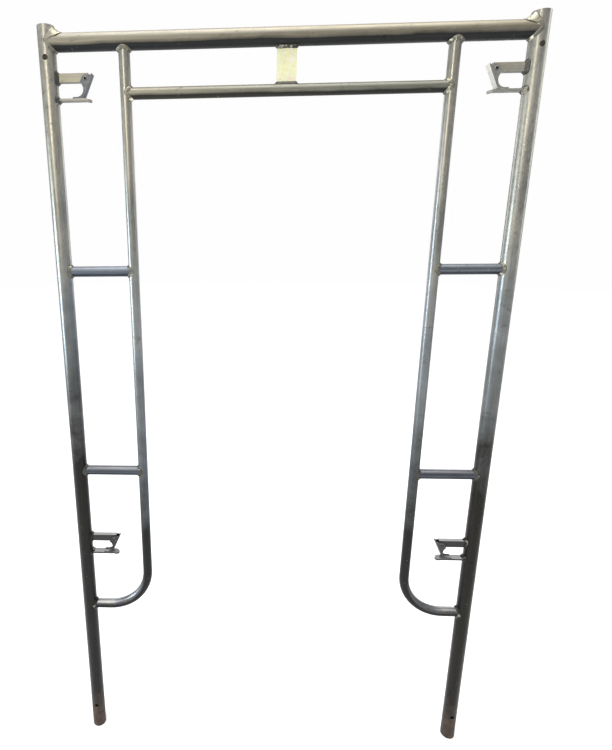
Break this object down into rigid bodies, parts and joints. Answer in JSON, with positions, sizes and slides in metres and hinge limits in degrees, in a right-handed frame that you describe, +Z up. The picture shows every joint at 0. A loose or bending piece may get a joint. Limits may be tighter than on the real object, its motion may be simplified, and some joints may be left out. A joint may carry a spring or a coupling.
{
  "type": "scaffold frame",
  "caption": "Galvanised steel walk-through scaffold frame: hollow legs, tube portal with ladder sides, and gravity latches that hold cross braces on.",
  "frame": {"origin": "midway between the two legs at the height of their lower ends, on the legs' axes", "axes": "+Z up along the legs, +X from the left leg to the right leg seen from the front, front towards -Y"},
  "size_m": [1.1052, 0.038, 1.93],
  "materials": {
    "leg_steel": "hot-dip galvanised, weathered",
    "header_steel": "hot-dip galvanised, weathered",
    "brace_steel": "hot-dip galvanised",
    "plate_steel": "bright zinc with a pale yellow cast",
    "lock_steel": "galvanised flat bar",
    "latch_steel": "bright zinc plated sheet"
  },
  "bodies": {
    "frame": {"left_leg": "leg_steel", "right_leg": "leg_steel", "header": "header_steel", "lower_header": "brace_steel", "header_plate": "plate_steel", "left_upright": "brace_steel", "right_upright": "brace_steel", "left_upper_rung": "brace_steel", "left_lower_rung": "brace_steel", "right_upper_rung": "brace_steel", "right_lower_rung": "brace_steel", "top_left_lock_arm": "lock_steel", "top_left_brace_stud": "lock_steel", "top_left_rivet": "latch_steel", "top_right_lock_arm": "lock_steel", "top_right_brace_stud": "lock_steel", "top_right_rivet": "latch_steel", "bottom_left_lock_arm": "lock_steel", "bottom_left_brace_stud": "lock_steel", "bottom_left_rivet": "latch_steel", "bottom_right_lock_arm": "lock_steel", "bottom_right_brace_stud": "lock_steel", "bottom_right_rivet": "latch_steel"},
    "top_left_latch": {"top_left_latch": "latch_steel"},
    "top_right_latch": {"top_right_latch": "latch_steel"},
    "bottom_left_latch": {"bottom_left_latch": "latch_steel"},
    "bottom_right_latch": {"bottom_right_latch": "latch_steel"}
  },
  "joints": [
    {"name": "top_left_latch_swing", "type": "hinge", "parent": "frame", "child": "top_left_latch", "pos_m": [-0.4495, 0, 1.8225], "axis": [0, 1, 0], "range_deg": [0, 66]},
    {"name": "top_right_latch_swing", "type": "hinge", "parent": "frame", "child": "top_right_latch", "pos_m": [0.4495, 0, 1.8225], "axis": [0, -1, 0], "range_deg": [0, 66]},
    {"name": "bottom_left_latch_swing", "type": "hinge", "parent": "frame", "child": "bottom_left_latch", "pos_m": [-0.4495, 0, 0.652], "axis": [0, 1, 0], "range_deg": [0, 66]},
    {"name": "bottom_right_latch_swing", "type": "hinge", "parent": "frame", "child": "bottom_right_latch", "pos_m": [0.4495, 0, 0.652], "axis": [0, -1, 0], "range_deg": [0, 66]}
  ]
}
